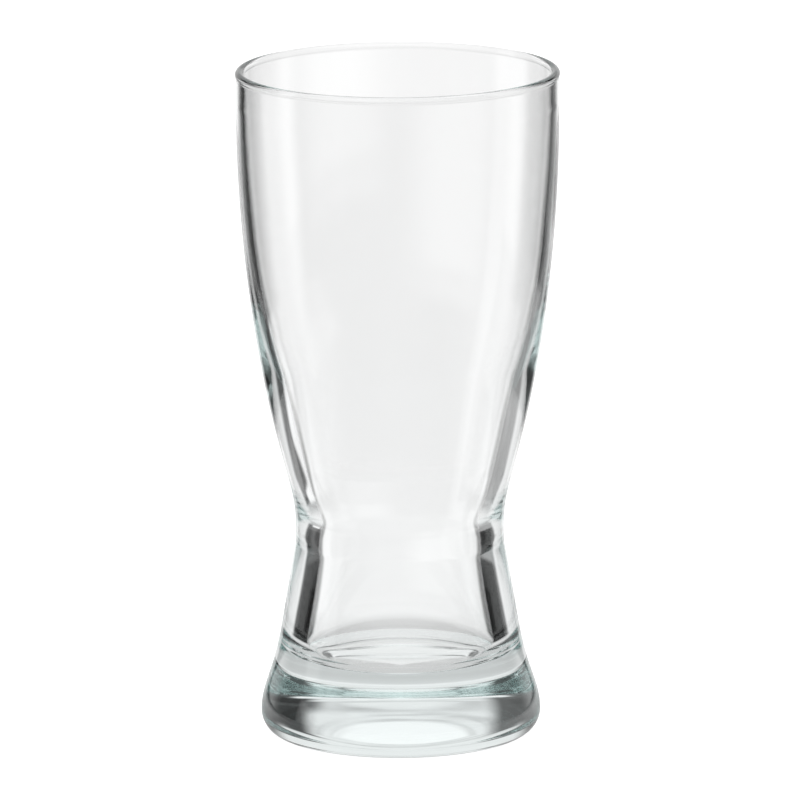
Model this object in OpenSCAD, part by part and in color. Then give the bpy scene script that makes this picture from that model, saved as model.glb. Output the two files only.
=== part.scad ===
// Hourglass pilsner of clear pressed and blown glass.
// The glass is one round wall of changing thickness, turned about Z. The wall is drawn once,
// and cut across into its four zones, which meet face to face.
// Origin: centre of the resting plane. Z up. All lengths in millimetres.

/* [Rim] */
// Height from the resting plane to the top of the rim
glass_h = 149; // [135:1:175]
// Diameter over the rounded rim
rim_d = 71.5; // [66:0.5:80]
// Diameter of the rim's round section
bead_d = 2; // [1.9:0.1:3]
// How far the rounded rim stands out of the wall below it
bead_proud = 0.15; // [0.1:0.05:0.4]
// Wall thickness below the rounded rim
wall_rim = 1.8; // [1.4:0.1:1.8]
// Depth below the top from which the wall stands upright
upright_h = 7.5; // [5:0.5:20]
// Depth of the rim zone below the top
rim_zone_h = 4; // [3.5:0.5:8]

/* [Bowl] */
// Outer diameter at the middle of the bowl
bowl_d = 58.4; // [56:0.2:62]
// Height of the middle of the bowl
bowl_z = 76; // [70:1:84]
// Outer diameter at the bottom of the bowl
bowl_low_d = 49.1; // [48:0.1:51]
// Height of the bottom of the bowl
bowl_low_z = 57; // [55:0.5:60]
// Wall thickness in the upper bowl
wall_high = 2.25; // [1.75:0.05:2.75]
// Height of that thickness
wall_high_z = 112; // [106:1:118]
// Wall thickness in the middle of the bowl
wall_mid = 3.5; // [2.8:0.1:4.2]
// Height of that thickness
wall_mid_z = 84; // [80:1:90]
// Wall thickness just above the bottom of the bowl
wall_low = 4.5; // [3.8:0.1:5.2]
// Height of that thickness
wall_low_z = 60; // [58:0.5:64]

/* [Waist] */
// Outer diameter of the upright band round the waist
waist_d = 46.2; // [42:0.1:47]
// Height of the top of that band
band_high_z = 47; // [46:0.5:49]
// Height of the bottom of that band
band_low_z = 44.3; // [44:0.1:45.5]
// Outer diameter at the top of the cone below the waist
skirt_top_d = 46.3; // [46.2:0.1:48]
// Height of the top of the cone
skirt_top_z = 42.8; // [41:0.1:43.5]
// Wall thickness just above the waist
wall_neck = 4.9; // [4.3:0.1:5.5]
// Height of that thickness
wall_neck_z = 50; // [49:0.5:54]
// Wall thickness at the waist
wall_waist = 5.1; // [4.4:0.1:5.8]
// Height of that thickness
wall_waist_z = 44.5; // [42:0.5:47]

/* [Foot] */
// Outer diameter at the bottom of the cone
skirt_low_d = 52.5; // [50:0.1:54]
// Height of the bottom of the cone
skirt_low_z = 25; // [22:0.5:29]
// Height of the inside floor above the resting plane
floor_z = 16.5; // [12:0.5:18]
// Height of the round corner between the floor and the wall
corner_h = 6; // [4:0.5:8]
// Wall thickness at the top of that corner
wall_foot = 6.15; // [5.25:0.05:7.25]
// Outer diameter where the foot flares most
flare_d = 57.4; // [55:0.1:59.5]
// Height at which the foot flares most
flare_z = 14.5; // [12:0.5:17]
// Largest diameter of the foot
foot_d = 62; // [60.5:0.1:66]
// Height at which the foot is widest
foot_z = 5; // [4:0.5:7]
// Outer diameter of the flat ring that the glass rests on
bearing_d = 53; // [50:0.5:56]
// Width of the flat ring
bearing_w = 1.5; // [1:0.25:3]
// Rise of the dished underside inside the flat ring
punt_h = 3; // [1:0.1:4]

/* [Hidden] */

// Points along each span of an outline, and along each bend
span_points = 10;
bend_points = 12;
// Sides of the round section of the rim
$fn = 96;
// Overrun of a cut past the face that it leaves
overrun = 1;

// Lean of the outer wall: the radius gained for each unit of height
bowl_lean_share = 0.203;
bowl_low_lean_share = 0.271;
cone_lean_share = -0.17;
flare_lean_share = -0.332;
// Lean of the inner wall, named as its thicknesses are
wall_high_lean_share = 0.1;
wall_mid_lean_share = 0.27;
wall_low_lean_share = 0.26;
wall_neck_lean_share = 0.22;
wall_waist_lean_share = -0.02;
wall_foot_lean_share = -0.17;

// Radius of the outer wall where it stands upright
upright_r = rim_d / 2 - bead_proud;
// Height of the centre line of the rim's round section
bead_z = glass_h - bead_d / 2;
// Height of the joint between the foot and the waist
hollow_z = floor_z + corner_h;

// Stations of the two faces of the wall, from below: height, radius and lean. The inner face follows the outer.
OUTER = [
    [foot_z, foot_d / 2, 0],
    [flare_z, flare_d / 2, flare_lean_share],
    [skirt_low_z, skirt_low_d / 2, cone_lean_share],
    [skirt_top_z, skirt_top_d / 2, cone_lean_share],
    [band_low_z, waist_d / 2, 0],
    [band_high_z, waist_d / 2, 0],
    [bowl_low_z, bowl_low_d / 2, bowl_low_lean_share],
    [bowl_z, bowl_d / 2, bowl_lean_share],
    [glass_h - upright_h, upright_r, 0],
    [bead_z, upright_r, 0]
];
INNER = [
    inside(hollow_z, wall_foot, wall_foot_lean_share),
    inside(wall_waist_z, wall_waist, wall_waist_lean_share),
    inside(wall_neck_z, wall_neck, wall_neck_lean_share),
    inside(wall_low_z, wall_low, wall_low_lean_share),
    inside(wall_mid_z, wall_mid, wall_mid_lean_share),
    inside(wall_high_z, wall_high, wall_high_lean_share),
    [glass_h - upright_h, upright_r - wall_rim, 0],
    [bead_z, upright_r - wall_rim, 0]
];

// Radius at share t of the way up the span between stations a and b, a smooth cubic
function cubic(a, b, t) =
    let (rise = b[0] - a[0])
    (2 * t ^ 3 - 3 * t ^ 2 + 1) * a[1] + (t ^ 3 - 2 * t ^ 2 + t) * rise * a[2]
    + (3 * t ^ 2 - 2 * t ^ 3) * b[1] + (t ^ 3 - t ^ 2) * rise * b[2];

// Radius of the outer wall at height z
function outer_r(z) =
    let (
        i = max([for (k = [0:len(OUTER) - 2]) if (OUTER[k][0] <= z) k]),
        t = (z - OUTER[i][0]) / (OUTER[i + 1][0] - OUTER[i][0])
    )
    cubic(OUTER[i], OUTER[i + 1], t);

// Station of the inner face, one wall thickness inside the outer wall
function inside(z, wall, lean_share) = [z, outer_r(z) - wall, lean_share];

// Points of the span from station a up to, but not at, station b
function span(a, b) = [
    for (i = [0:span_points - 1])
        let (t = i / span_points)
        [cubic(a, b, t), a[0] + t * (b[0] - a[0])]
];

// Points of the whole face through a list of stations
function face(stations) = [
    for (i = [0:len(stations) - 2]) each span(stations[i], stations[i + 1]),
    [stations[len(stations) - 1][1], stations[len(stations) - 1][0]]
];

// Points of the heel, a quarter of an ellipse from the flat ring out to the widest line
function heel() = [
    for (i = [0:bend_points - 1])
        let (a = 90 * i / bend_points)
        [bearing_d / 2 + (foot_d / 2 - bearing_d / 2) * sin(a), foot_z * (1 - cos(a))]
];

// Points of the dished underside, an arc from the axis out to the flat ring
function punt() =
    let (
        edge_r = bearing_d / 2 - bearing_w,
        arc_r = (edge_r ^ 2 + punt_h ^ 2) / (2 * punt_h),
        half = asin(edge_r / arc_r)
    ) [
        for (i = [0:bend_points])
            let (a = half * i / bend_points)
            [arc_r * sin(a), punt_h - arc_r * (1 - cos(a))]
    ];

// Points of the floor and its corner, a bend tangent to the floor and to the wall above it
function corner() =
    let (
        wall_r = INNER[0][1],
        foot_r = wall_r - wall_foot_lean_share * corner_h,
        flat_r = foot_r - corner_h
    ) [
        for (i = [0:bend_points - 1])
            let (t = i / bend_points)
            [(1 - t) ^ 2 * flat_r + 2 * t * (1 - t) * foot_r + t ^ 2 * wall_r, floor_z + t ^ 2 * corner_h]
    ];

// Reversed list of points
function reversed(points) = [for (i = [len(points) - 1:-1:0]) points[i]];

// Half section of the whole glass wall
module section() {
    polygon(concat(punt(), heel(), face(OUTER), reversed(face(INNER)), reversed(corner()), [[0, floor_z]]));
    translate([rim_d / 2 - bead_d / 2, bead_z])
        circle(d = bead_d);
}

// One zone of the glass between two heights
module zone(low_z, high_z) {
    rotate_extrude()
        intersection() {
            section();
            translate([0, low_z])
                square([foot_d + rim_d, high_z - low_z]);
        }
}

// Thick solid base with the inside floor, the flaring outside and the rounded heel
module foot() {
    color([0.80, 0.88, 0.86, 0.6])
        zone(-overrun, hollow_z);
}

// Narrow part of the wall between the foot and the bowl
module waist() {
    color([0.86, 0.91, 0.90, 0.6])
        zone(hollow_z, bowl_low_z);
}

// Tall swelling wall that thins towards the rim
module bowl() {
    color([0.91, 0.93, 0.93, 0.6])
        zone(bowl_low_z, glass_h - rim_zone_h);
}

// Upright lip with its rounded, fire-polished edge
module rim() {
    color([0.95, 0.96, 0.96, 0.6])
        zone(glass_h - rim_zone_h, glass_h + overrun);
}

foot();
waist();
bowl();
rim();
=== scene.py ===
import math

import bmesh
import bpy
from mathutils import Matrix, Vector, noise

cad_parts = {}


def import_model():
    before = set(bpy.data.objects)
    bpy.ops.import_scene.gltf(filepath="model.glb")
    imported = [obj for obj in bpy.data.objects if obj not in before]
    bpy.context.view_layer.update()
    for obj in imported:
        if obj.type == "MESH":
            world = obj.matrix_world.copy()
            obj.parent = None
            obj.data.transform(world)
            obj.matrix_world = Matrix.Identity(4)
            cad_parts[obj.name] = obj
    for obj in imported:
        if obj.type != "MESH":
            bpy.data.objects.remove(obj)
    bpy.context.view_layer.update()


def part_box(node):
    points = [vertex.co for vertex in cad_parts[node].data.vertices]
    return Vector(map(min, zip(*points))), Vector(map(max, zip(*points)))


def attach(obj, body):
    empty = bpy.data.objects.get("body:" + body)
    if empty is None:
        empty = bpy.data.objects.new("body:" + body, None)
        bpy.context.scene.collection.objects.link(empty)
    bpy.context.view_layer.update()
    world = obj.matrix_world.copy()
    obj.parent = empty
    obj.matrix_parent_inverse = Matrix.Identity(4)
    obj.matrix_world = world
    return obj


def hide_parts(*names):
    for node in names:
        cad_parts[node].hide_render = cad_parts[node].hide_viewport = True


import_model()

MM = 0.001

# Sizes of the glass, in millimetres. The first five are read from the parts in model.glb.
GLASS_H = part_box("rim")[1].z / MM
RIM_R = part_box("rim")[1].x / MM
FOOT_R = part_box("foot")[1].x / MM
HOLLOW_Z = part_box("foot")[1].z / MM
BOWL_LOW_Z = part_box("waist")[1].z / MM
# Rim
BEAD_R = 1.0
BEAD_PROUD = 0.15
WALL_RIM = 1.8
UPRIGHT_H = 7.5
# Foot
FOOT_Z = 5.0
FLOOR_Z = 16.5
CORNER_H = HOLLOW_Z - FLOOR_Z
BEARING_R = 26.5
BEARING_W = 1.5
PUNT_H = 3.0

# Outer face of the wall, from below: height, radius and lean.
# The lean is the radius gained for each unit of height.
OUTER = [
    (FOOT_Z, FOOT_R, 0.0),
    (14.5, 28.72, -0.332),
    (25.0, 26.25, -0.17),
    (42.8, 23.17, -0.17),
    (44.3, 23.08, 0.0),
    (47.0, 23.08, 0.0),
    (BOWL_LOW_Z, 24.57, 0.271),
    (76.0, 29.2, 0.203),
    (GLASS_H - UPRIGHT_H, RIM_R - BEAD_PROUD, 0.0),
]
# Inner face, from below: height, wall thickness there and lean
WALLS = [
    (HOLLOW_Z, 6.15, -0.17),
    (44.5, 5.1, -0.02),
    (50.0, 4.9, 0.22),
    (60.0, 4.5, 0.26),
    (84.0, 3.5, 0.27),
    (112.0, 2.25, 0.1),
]

# Mesh: longest step up the wall, fewest points in a span, points along each bend and upright face, and
# points round the glass
STEP = 0.8
LEAST_POINTS = 8
BEND_POINTS = 24
UPRIGHT_POINTS = 16
TURN_POINTS = 256
# Radius below which a point lies on the axis
ON_AXIS = 1e-6

# Waviness that pressing and blowing leave in the two faces: its depth, and how fast it changes round the
# glass and up it
WAVE_IN = 0.05
WAVE_OUT = 0.015
WAVES_ROUND = 1.6
WAVES_UP = 0.05


def cubic(a, b, t):
    """Radius at share t of the way up from station a to station b."""
    height = b[0] - a[0]
    return ((2 * t ** 3 - 3 * t ** 2 + 1) * a[1] + (t ** 3 - 2 * t ** 2 + t) * height * a[2]
            + (3 * t ** 2 - 2 * t ** 3) * b[1] + (t ** 3 - t ** 2) * height * b[2])


def outer_r(z):
    a, b = [(a, b) for a, b in zip(OUTER[:-1], OUTER[1:]) if a[0] <= z][-1]
    return cubic(a, b, (z - a[0]) / (b[0] - a[0]))


def inner():
    """Stations of the inner face, which follows the outer one."""
    top_z, top_r, lean = OUTER[-1]
    return [(z, outer_r(z) - wall, lean) for z, wall, lean in WALLS] + [(top_z, top_r - WALL_RIM, 0.0)]


def face(stations):
    points = []
    for a, b in zip(stations[:-1], stations[1:]):
        n = max(LEAST_POINTS, math.ceil((b[0] - a[0]) / STEP))
        for i in range(n):
            t = i / n
            points.append((cubic(a, b, t), a[0] + t * (b[0] - a[0])))
    points.append((stations[-1][1], stations[-1][0]))
    return points


def punt():
    """Dished underside, an arc from the axis out to the ring that the glass rests on."""
    edge = BEARING_R - BEARING_W
    arc = (edge ** 2 + PUNT_H ** 2) / (2 * PUNT_H)
    half = math.asin(edge / arc)
    turns = [half * i / BEND_POINTS for i in range(BEND_POINTS + 1)]
    return [(arc * math.sin(a), PUNT_H - arc * (1 - math.cos(a))) for a in turns]


def heel():
    """Quarter of an ellipse, from the ring out to the widest line of the foot."""
    turns = [math.pi / 2 * i / BEND_POINTS for i in range(BEND_POINTS)]
    reach = FOOT_R - BEARING_R
    return [(BEARING_R + reach * math.sin(a), FOOT_Z * (1 - math.cos(a))) for a in turns]


def upright(r, turn):
    """Points up an upright face, to where it meets the rim's round section at this turn."""
    low_z = OUTER[-1][0]
    high_z = GLASS_H - BEAD_R + BEAD_R * math.sin(turn)
    return [(r, low_z + (high_z - low_z) * i / UPRIGHT_POINTS) for i in range(1, UPRIGHT_POINTS)]


def bead():
    """The two upright faces and the round section between them."""
    out_r = OUTER[-1][1]
    in_r = out_r - WALL_RIM
    centre_r = RIM_R - BEAD_R
    centre_z = GLASS_H - BEAD_R
    start = -math.acos((out_r - centre_r) / BEAD_R)
    end = math.pi + math.acos((centre_r - in_r) / BEAD_R)
    turns = [start + (end - start) * i / (2 * BEND_POINTS) for i in range(2 * BEND_POINTS + 1)]
    round_edge = [(centre_r + BEAD_R * math.cos(a), centre_z + BEAD_R * math.sin(a)) for a in turns]
    return upright(out_r, start) + round_edge + upright(in_r, end)[::-1]


def floor_and_corner():
    """Inside floor from the axis out, and the bend from it up to the wall."""
    top_z, top_r, lean = inner()[0]
    foot_r = top_r - lean * CORNER_H
    flat_r = foot_r - CORNER_H
    points = [(flat_r * i / BEND_POINTS, FLOOR_Z) for i in range(BEND_POINTS)]
    for i in range(BEND_POINTS):
        t = i / BEND_POINTS
        r = (1 - t) ** 2 * flat_r + 2 * t * (1 - t) * foot_r + t ** 2 * top_r
        points.append((r, FLOOR_Z + t ** 2 * CORNER_H))
    return points


def section():
    """Half section of the glass from the axis below to the axis above: radius, height, is it outside."""
    outside = punt() + heel() + face(OUTER) + bead()
    inside = face(inner())[::-1] + floor_and_corner()[::-1]
    return [(r, z, True) for r, z in outside] + [(r, z, False) for r, z in inside]


def wavy(r, z, turn, is_outside):
    """Radius with the waviness of this place. The outer face only sinks, to stay inside the CAD box."""
    wave = noise.noise(Vector((WAVES_ROUND * math.cos(turn), WAVES_ROUND * math.sin(turn), WAVES_UP * z)))
    return r + WAVE_OUT * (wave - 1) if is_outside else r + WAVE_IN * wave


def lathe(name, points):
    bm = bmesh.new()
    rings = []
    for r, z, is_outside in points:
        if r < ON_AXIS:
            rings.append([bm.verts.new((0, 0, z * MM))])
            continue
        ring = []
        for k in range(TURN_POINTS):
            a = 2 * math.pi * k / TURN_POINTS
            s = wavy(r, z, a, is_outside)
            ring.append(bm.verts.new((s * MM * math.cos(a), s * MM * math.sin(a), z * MM)))
        rings.append(ring)
    for low, high in zip(rings[:-1], rings[1:]):
        for k in range(TURN_POINTS):
            j = (k + 1) % TURN_POINTS
            if len(low) == 1:
                bm.faces.new((low[0], high[j], high[k]))
            elif len(high) == 1:
                bm.faces.new((low[k], low[j], high[0]))
            else:
                bm.faces.new((low[k], low[j], high[j], high[k]))
    bmesh.ops.recalc_face_normals(bm, faces=bm.faces)
    for f in bm.faces:
        f.smooth = True
    mesh = bpy.data.meshes.new(name)
    bm.to_mesh(mesh)
    bm.free()
    piece = bpy.data.objects.new(name, mesh)
    bpy.context.scene.collection.objects.link(piece)
    return piece


# Helpers for node trees. A tree is its nodes and its links.

def tree_of(owner):
    owner.use_nodes = True
    return owner.node_tree.nodes, owner.node_tree.links


def feed(tree, socket, value):
    """Set an input to a number, or link it to an output."""
    nodes, links = tree
    if isinstance(value, (int, float)):
        socket.default_value = value
    else:
        links.new(value, socket)


def math_node(tree, op, *values):
    nodes, links = tree
    n = nodes.new("ShaderNodeMath")
    n.operation = op
    for socket, value in zip(n.inputs, values):
        feed(tree, socket, value)
    return n.outputs[0]


def rise(tree, value, low, high, start=0.0, end=1.0):
    """A smooth step of value, from start below low to end above high."""
    nodes, links = tree
    n = nodes.new("ShaderNodeMapRange")
    n.interpolation_type = "SMOOTHSTEP"
    feed(tree, n.inputs["Value"], value)
    feed(tree, n.inputs["From Min"], low)
    feed(tree, n.inputs["From Max"], high)
    feed(tree, n.inputs["To Min"], start)
    feed(tree, n.inputs["To Max"], end)
    return n.outputs["Result"]


def edge_at(tree, value, place, soft, start=0.0, end=1.0):
    """A smooth step of value about a place, with a softness on each side of it."""
    return rise(tree, value, place - soft, place + soft, start, end)


def blend(tree, share, first, second):
    """first where share is 0, second where it is 1."""
    nodes, links = tree
    n = nodes.new("ShaderNodeMix")
    feed(tree, n.inputs["Factor"], share)
    feed(tree, n.inputs[2], first)
    feed(tree, n.inputs[3], second)
    return n.outputs["Result"]


def noise_node(tree, where, scale, detail):
    nodes, links = tree
    n = nodes.new("ShaderNodeTexNoise")
    n.inputs["Scale"].default_value = scale
    n.inputs["Detail"].default_value = detail
    links.new(where, n.inputs["Vector"])
    return n.outputs["Fac"]


def coordinates(tree, output):
    nodes, links = tree
    return nodes.new("ShaderNodeTexCoord").outputs[output]


def azimuth(tree, x, y):
    """Degrees from +Y towards +X."""
    return math_node(tree, "DEGREES", math_node(tree, "ARCTAN2", x, y))


# Clear glass: index, tint, and the faint smears and ripples of its faces (scale, detail, range, amount)
GLASS_IOR = 1.52
GLASS_TINT = (0.72, 0.85, 0.84, 1)
TINT_DENSITY = 7.0
SMEAR_SCALE = 90.0
SMEAR_DETAIL = 4.0
SMEAR_RANGE = (0.45, 0.75)
SMEAR_ROUGHNESS = 0.012
RIPPLE_SCALE = 60.0
RIPPLE_DETAIL = 2.0
RIPPLE_RANGE = (0.2, 0.8)
RIPPLE_STRENGTH = 0.01
RIPPLE_DEPTH = 0.0005


def glass_material():
    mat = bpy.data.materials.new("clear_glass")
    tree = tree_of(mat)
    nodes, links = tree
    shader = nodes["Principled BSDF"]
    shader.inputs["Base Color"].default_value = (1, 1, 1, 1)
    shader.inputs["Transmission Weight"].default_value = 1.0
    shader.inputs["IOR"].default_value = GLASS_IOR
    smears = noise_node(tree, coordinates(tree, "Object"), SMEAR_SCALE, SMEAR_DETAIL)
    links.new(rise(tree, smears, *SMEAR_RANGE, 0.0, SMEAR_ROUGHNESS), shader.inputs["Roughness"])
    ripples = noise_node(tree, coordinates(tree, "Object"), RIPPLE_SCALE, RIPPLE_DETAIL)
    bump = nodes.new("ShaderNodeBump")
    bump.inputs["Strength"].default_value = RIPPLE_STRENGTH
    bump.inputs["Distance"].default_value = RIPPLE_DEPTH
    links.new(rise(tree, ripples, *RIPPLE_RANGE), bump.inputs["Height"])
    links.new(bump.outputs[0], shader.inputs["Normal"])
    volume = nodes.new("ShaderNodeVolumeAbsorption")
    volume.inputs["Color"].default_value = GLASS_TINT
    volume.inputs["Density"].default_value = TINT_DENSITY
    links.new(volume.outputs[0], nodes["Material Output"].inputs["Volume"])
    return mat


# Studio round the glass: white screens seen past dark flags, in bands of elevation, all in degrees.
# Windows of each band that look past the flags at the screens: centre, half width and softness
LOW_WINDOWS = [(0, 19.5, 4), (-46, 8, 2.5)]
SIDE_WINDOWS = [(0, 19.5, 4), (-82, 18, 6), (86, 8, 10), (135, 30, 20)]
HORIZON_WINDOWS = [(0, 52, 10), (-92, 8, 3)]
EDGE_WINDOWS = [(-2, 26, 5)]
MIDDLE_WINDOWS = [(0, 28, 5)]
UPPER_WINDOWS = [(0, 42, 5), (180, 45, 20)]
HIGH_WINDOWS = [(0, 4, 2.5), (180, 45, 20)]
# Elevations at which one band of windows ends and the next begins, and how softly
BOTTOM = -90.0
LOW_TOP = -23.5
NEAR_TOP = -18.5
SIDE_TOP = -4.0
HORIZON_TOP = 11.2
EDGE_TOP = 13.2
MIDDLE_TOP = 20.5
UPPER_TOP = 31.0
HIGH_TOP = 57.0
BAND_SOFT = 1.0
# Light of the screens
SCREEN = 1.0
HORIZON_SCREEN = 0.93
EDGE_SCREEN = 0.74
MIDDLE_SCREEN = 0.93
UPPER_SCREEN = 1.08
# Streaks in the screens above the table: where they start and end, the share of the light that they take,
# their size, and the noise that they come from
STREAK_START = 10.0
STREAK_END = 22.0
STREAK_SOFT = 2.0
STREAK_DEPTH = 0.3
STREAK_WIDTH = 30.0
STREAK_HEIGHT = 4.0
STREAK_DETAIL = 2.0
STREAK_RANGE = (0.4, 0.7)
# Light from the flags: left and right of the middle, further round, and high up
SIDES_SOFT = 10.0
LEFT_LIGHT = 0.05
RIGHT_LIGHT = 0.13
FLAG_SPLIT = 34.0
FLAG_SOFT = 3.0
FAR_LIGHT = 0.015
LOW_LEFT = 0.1
LOW_RIGHT = 0.36
MIDDLE_LEFT = 0.17
MIDDLE_RIGHT = 0.05
HIGH_LIGHT = 0.13
# Light from the table beside the glass and from the room in front
BESIDE_LIGHT = 1.0
BESIDE_START = 58.0
BESIDE_SOFT = 4.0
FRONT_LIGHT = 0.12
FRONT_START = 110.0
FRONT_SOFT = 35.0


def directions(tree):
    """Azimuth from +Y towards +X, and elevation, in degrees."""
    nodes, links = tree
    unit = nodes.new("ShaderNodeVectorMath")
    unit.operation = "NORMALIZE"
    links.new(coordinates(tree, "Generated"), unit.inputs[0])
    sep = nodes.new("ShaderNodeSeparateXYZ")
    links.new(unit.outputs[0], sep.inputs[0])
    el = math_node(tree, "DEGREES", math_node(tree, "ARCSINE", sep.outputs["Z"]))
    return azimuth(tree, sep.outputs["X"], sep.outputs["Y"]), el


def beyond(tree, az, windows):
    """0 inside the windows, 1 outside them."""
    outside = 1.0
    for centre, width, soft in windows:
        turned = math_node(tree, "WRAP", math_node(tree, "SUBTRACT", az, centre), 180.0, -180.0)
        far = edge_at(tree, math_node(tree, "ABSOLUTE", turned), width, soft)
        outside = math_node(tree, "MULTIPLY", far, outside)
    return outside


def streaks(tree, az, el):
    """Level streaks in the screens above the table, as a factor on their light."""
    nodes, links = tree
    place = nodes.new("ShaderNodeCombineXYZ")
    links.new(math_node(tree, "DIVIDE", az, STREAK_WIDTH), place.inputs["X"])
    links.new(math_node(tree, "DIVIDE", el, STREAK_HEIGHT), place.inputs["Y"])
    pattern = noise_node(tree, place.outputs[0], 1.0, STREAK_DETAIL)
    lost = rise(tree, pattern, *STREAK_RANGE, 0.0, STREAK_DEPTH)
    lost = math_node(tree, "MULTIPLY", lost, edge_at(tree, el, STREAK_START, STREAK_SOFT))
    lost = math_node(tree, "MULTIPLY", lost, edge_at(tree, el, STREAK_END, STREAK_SOFT, 1.0, 0.0))
    return math_node(tree, "SUBTRACT", 1.0, lost)


def world():
    w = bpy.data.worlds.new("studio")
    bpy.context.scene.world = w
    tree = tree_of(w)
    nodes, links = tree
    az, el = directions(tree)
    turn = math_node(tree, "ABSOLUTE", az)
    front = edge_at(tree, turn, FRONT_START, FRONT_SOFT)

    def sides(left, right):
        return edge_at(tree, az, 0.0, SIDES_SOFT, left, right)

    def until_front(light):
        return blend(tree, front, light, FRONT_LIGHT)

    near_flags = sides(LEFT_LIGHT, RIGHT_LIGHT)
    flags = until_front(blend(tree, edge_at(tree, turn, FLAG_SPLIT, FLAG_SOFT), near_flags, FAR_LIGHT))
    low = sides(LOW_LEFT, LOW_RIGHT)
    beside = until_front(blend(tree, edge_at(tree, turn, BESIDE_START, BESIDE_SOFT), low, BESIDE_LIGHT))
    middle = until_front(sides(MIDDLE_LEFT, MIDDLE_RIGHT))
    # Bands from below: where each starts, its windows, the screen seen in them, and the light outside them
    bands = [
        (BOTTOM, LOW_WINDOWS, SCREEN, beside),
        (LOW_TOP, SIDE_WINDOWS, SCREEN, until_front(low)),
        (NEAR_TOP, SIDE_WINDOWS, SCREEN, flags),
        (SIDE_TOP, HORIZON_WINDOWS, HORIZON_SCREEN, flags),
        (HORIZON_TOP, EDGE_WINDOWS, EDGE_SCREEN, middle),
        (EDGE_TOP, MIDDLE_WINDOWS, MIDDLE_SCREEN, middle),
        (MIDDLE_TOP, UPPER_WINDOWS, UPPER_SCREEN, middle),
        (UPPER_TOP, HIGH_WINDOWS, SCREEN, HIGH_LIGHT),
        (HIGH_TOP, [], SCREEN, SCREEN),
    ]
    light = 0.0
    for start, windows, screen, outside in bands:
        band = blend(tree, beyond(tree, az, windows), screen, outside)
        light = blend(tree, edge_at(tree, el, start, BAND_SOFT), light, band)
    light = math_node(tree, "MULTIPLY", light, streaks(tree, az, el))
    links.new(light, nodes["Background"].inputs["Color"])


# Table that the glass stands on, with a sheet behind the glass: it glows with painted light for a lit
# white table, with painted shade and painted shadow in it. Distances from the axis in metres, angles in
# degrees.
# Painted shadow under the glass: how far out it is, its light behind the axis and in front, and the turn
# between them
UNDER_R = 0.03
PAINTED_SHADOW_UNDER_BACK = 0.9
PAINTED_SHADOW_UNDER_FRONT = 0.66
UNDER_TURN = 50.0
UNDER_SOFT = 15.0
# Painted shadow in a ring round the foot, and where the open table is fully lit
RING_R = 0.034
PAINTED_SHADOW_RING_LIGHT = 0.66
OPEN_START = 0.038
OPEN_R = 0.085
OPEN_LIGHT = 1.0
# Painted shade on the table in front of the glass, and beside it past the sheet
PAINTED_SHADE_FRONT_TABLE = 0.35
BESIDE_R = 0.085
BESIDE_R_SOFT = 0.015
PAINTED_SHADE_BESIDE_TABLE = 0.5
# Reach of the table all round, and of the sheet, which narrows with the distance
NEAR_R = 0.108
NEAR_SOFT = 0.006
SHEET_R = 0.235
SHEET_R_SOFT = 0.025
SHEET_NEAR = 38.0
SHEET_FAR = 31.0
SHEET_SOFT = 4.0
BESIDE_END = 8.0
TABLE_R = 0.265


def painted_light_table_material():
    mat = bpy.data.materials.new("table")
    tree = tree_of(mat)
    nodes, links = tree
    nodes.remove(nodes["Principled BSDF"])
    place = coordinates(tree, "Object")
    sep = nodes.new("ShaderNodeSeparateXYZ")
    links.new(place, sep.inputs[0])
    reach = nodes.new("ShaderNodeVectorMath")
    reach.operation = "LENGTH"
    links.new(place, reach.inputs[0])
    r = reach.outputs["Value"]
    turn = math_node(tree, "ABSOLUTE", azimuth(tree, sep.outputs["X"], sep.outputs["Y"]))
    # The sheet behind the glass, and the table close round it
    edge = math_node(tree, "SUBTRACT", turn, rise(tree, r, NEAR_R, SHEET_R, SHEET_NEAR, SHEET_FAR))
    sheet = edge_at(tree, edge, 0.0, SHEET_SOFT, 1.0, 0.0)
    behind = math_node(tree, "MULTIPLY", sheet, edge_at(tree, r, SHEET_R, SHEET_R_SOFT, 1.0, 0.0))
    solid = math_node(tree, "MAXIMUM", behind, edge_at(tree, r, NEAR_R, NEAR_SOFT, 1.0, 0.0))
    # Painted light: painted shadow under the glass, then a ring of painted shadow round its foot, then the
    # open table, with painted shade beside it and in front
    painted_shadow_under = edge_at(tree, turn, UNDER_TURN, UNDER_SOFT, PAINTED_SHADOW_UNDER_BACK, PAINTED_SHADOW_UNDER_FRONT)
    # Painted shadow under the glass and in a ring round its foot
    ring = blend(tree, rise(tree, r, UNDER_R, RING_R), painted_shadow_under, PAINTED_SHADOW_RING_LIGHT)
    # Painted shade on the table beside the glass and in front of it
    past_edge = rise(tree, edge, -SHEET_SOFT, BESIDE_END)
    beside = math_node(tree, "MULTIPLY", past_edge, edge_at(tree, r, BESIDE_R, BESIDE_R_SOFT))
    painted_open_light = blend(tree, beside, OPEN_LIGHT, PAINTED_SHADE_BESIDE_TABLE)
    painted_open_light = blend(tree, edge_at(tree, turn, FRONT_START, FRONT_SOFT), painted_open_light, PAINTED_SHADE_FRONT_TABLE)
    painted_table_light = blend(tree, rise(tree, r, OPEN_START, OPEN_R), ring, painted_open_light)
    # The table glows: its emission is painted light, not a lamp
    light = nodes.new("ShaderNodeEmission")
    links.new(painted_table_light, light.inputs["Strength"])
    mix = nodes.new("ShaderNodeMixShader")
    links.new(solid, mix.inputs["Fac"])
    links.new(nodes.new("ShaderNodeBsdfTransparent").outputs[0], mix.inputs[1])
    links.new(light.outputs[0], mix.inputs[2])
    links.new(mix.outputs[0], nodes["Material Output"].inputs["Surface"])
    return mat


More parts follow.
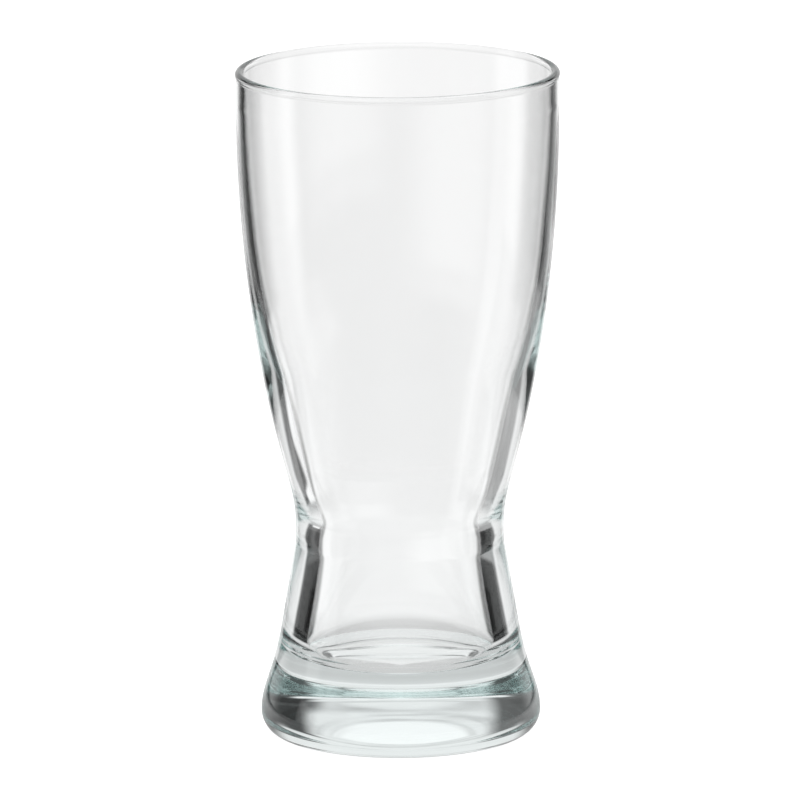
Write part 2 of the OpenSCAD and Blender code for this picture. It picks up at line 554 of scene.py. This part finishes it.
# Pale floor and backdrop that the camera sees, in metres
GROUND_R = 6.0
GROUND_Z = -0.0004
GROUND_COLOUR = (0.4, 0.4, 0.4, 1)
GROUND_ROUGHNESS = 0.9
GROUND_LIGHT = 0.92
TABLE_Z = -0.0002
BACKDROP_R = 5.4
BACKDROP_LIGHT = 1.05
DISC_POINTS = 96
BALL_SEGMENTS = 64
BALL_RINGS = 32


def ground_material():
    mat = bpy.data.materials.new("floor")
    nodes, links = tree_of(mat)
    shader = nodes["Principled BSDF"]
    shader.inputs["Base Color"].default_value = GROUND_COLOUR
    shader.inputs["Roughness"].default_value = GROUND_ROUGHNESS
    shader.inputs["Emission Color"].default_value = (1, 1, 1, 1)
    shader.inputs["Emission Strength"].default_value = GROUND_LIGHT
    return mat


def backdrop_material():
    mat = bpy.data.materials.new("backdrop")
    nodes, links = tree_of(mat)
    nodes.remove(nodes["Principled BSDF"])
    light = nodes.new("ShaderNodeEmission")
    light.inputs["Strength"].default_value = BACKDROP_LIGHT
    links.new(light.outputs[0], nodes["Material Output"].inputs["Surface"])
    return mat


def seen_by(obj, camera=False, diffuse=False, glossy=False, transmission=False):
    """Let only these rays see obj."""
    obj.visible_camera = camera
    obj.visible_diffuse = diffuse
    obj.visible_glossy = glossy
    obj.visible_transmission = transmission
    obj.visible_shadow = False
    obj.visible_volume_scatter = False


def disc(name, radius, z, material):
    bpy.ops.mesh.primitive_circle_add(vertices=DISC_POINTS, radius=radius, fill_type="TRIFAN")
    obj = bpy.context.object
    obj.location.z = z
    obj.name = name
    obj.data.materials.append(material)
    return obj


def ball(name, radius, material):
    bpy.ops.mesh.primitive_uv_sphere_add(segments=BALL_SEGMENTS, ring_count=BALL_RINGS, radius=radius)
    obj = bpy.context.object
    obj.name = name
    obj.data.materials.append(material)
    for p in obj.data.polygons:
        p.use_smooth = True
    return obj


def room():
    seen_by(disc("floor", GROUND_R, GROUND_Z, ground_material()), camera=True, diffuse=True)
    seen_by(disc("table", TABLE_R, TABLE_Z, painted_light_table_material()), glossy=True, transmission=True)
    seen_by(ball("backdrop", BACKDROP_R, backdrop_material()), camera=True)


# Camera fitted to the photo's ellipses: lens in mm, pitch down and roll in degrees, place in metres
SENSOR = 36.0
LENS = 468.15
PITCH = 11.97
ROLL = -0.318
CAMERA_PLACE = (0.00017, -2.2486, 0.5515)
CLIP_END = 20.0


def camera():
    data = bpy.data.cameras.new("camera")
    cam = bpy.data.objects.new("camera", data)
    bpy.context.scene.collection.objects.link(cam)
    data.sensor_width = SENSOR
    data.lens = LENS
    data.clip_end = CLIP_END
    turn = Matrix.Rotation(math.radians(90 - PITCH), 3, "X") @ Matrix.Rotation(math.radians(ROLL), 3, "Z")
    cam.rotation_euler = turn.to_euler()
    cam.location = CAMERA_PLACE
    bpy.context.scene.camera = cam


# Soft lamp over the floor: width and height in metres, power in watts
LAMP_SIZE = 1.6
LAMP_Z = 2.0
LAMP_POWER = 30.0


def lamp():
    data = bpy.data.lights.new("overhead", "AREA")
    data.shape = "DISK"
    data.size = LAMP_SIZE
    data.energy = LAMP_POWER
    obj = bpy.data.objects.new("overhead", data)
    obj.location = (0, 0, LAMP_Z)
    bpy.context.scene.collection.objects.link(obj)
    obj.visible_glossy = False
    obj.visible_transmission = False


# Times that light may pass or be thrown back in the thick foot
BOUNCES = 64

camera()
world()
room()
lamp()
glass = lathe("glass_body", section())
glass.data.materials.append(glass_material())
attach(glass, "root")
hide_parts("foot", "waist", "bowl", "rim")

scene = bpy.context.scene
scene.view_settings.view_transform = "Standard"
scene.cycles.max_bounces = BOUNCES
scene.cycles.transmission_bounces = BOUNCES
scene.cycles.glossy_bounces = BOUNCES
scene.cycles.caustics_reflective = True
scene.cycles.caustics_refractive = True
scene.cycles.use_denoising = True
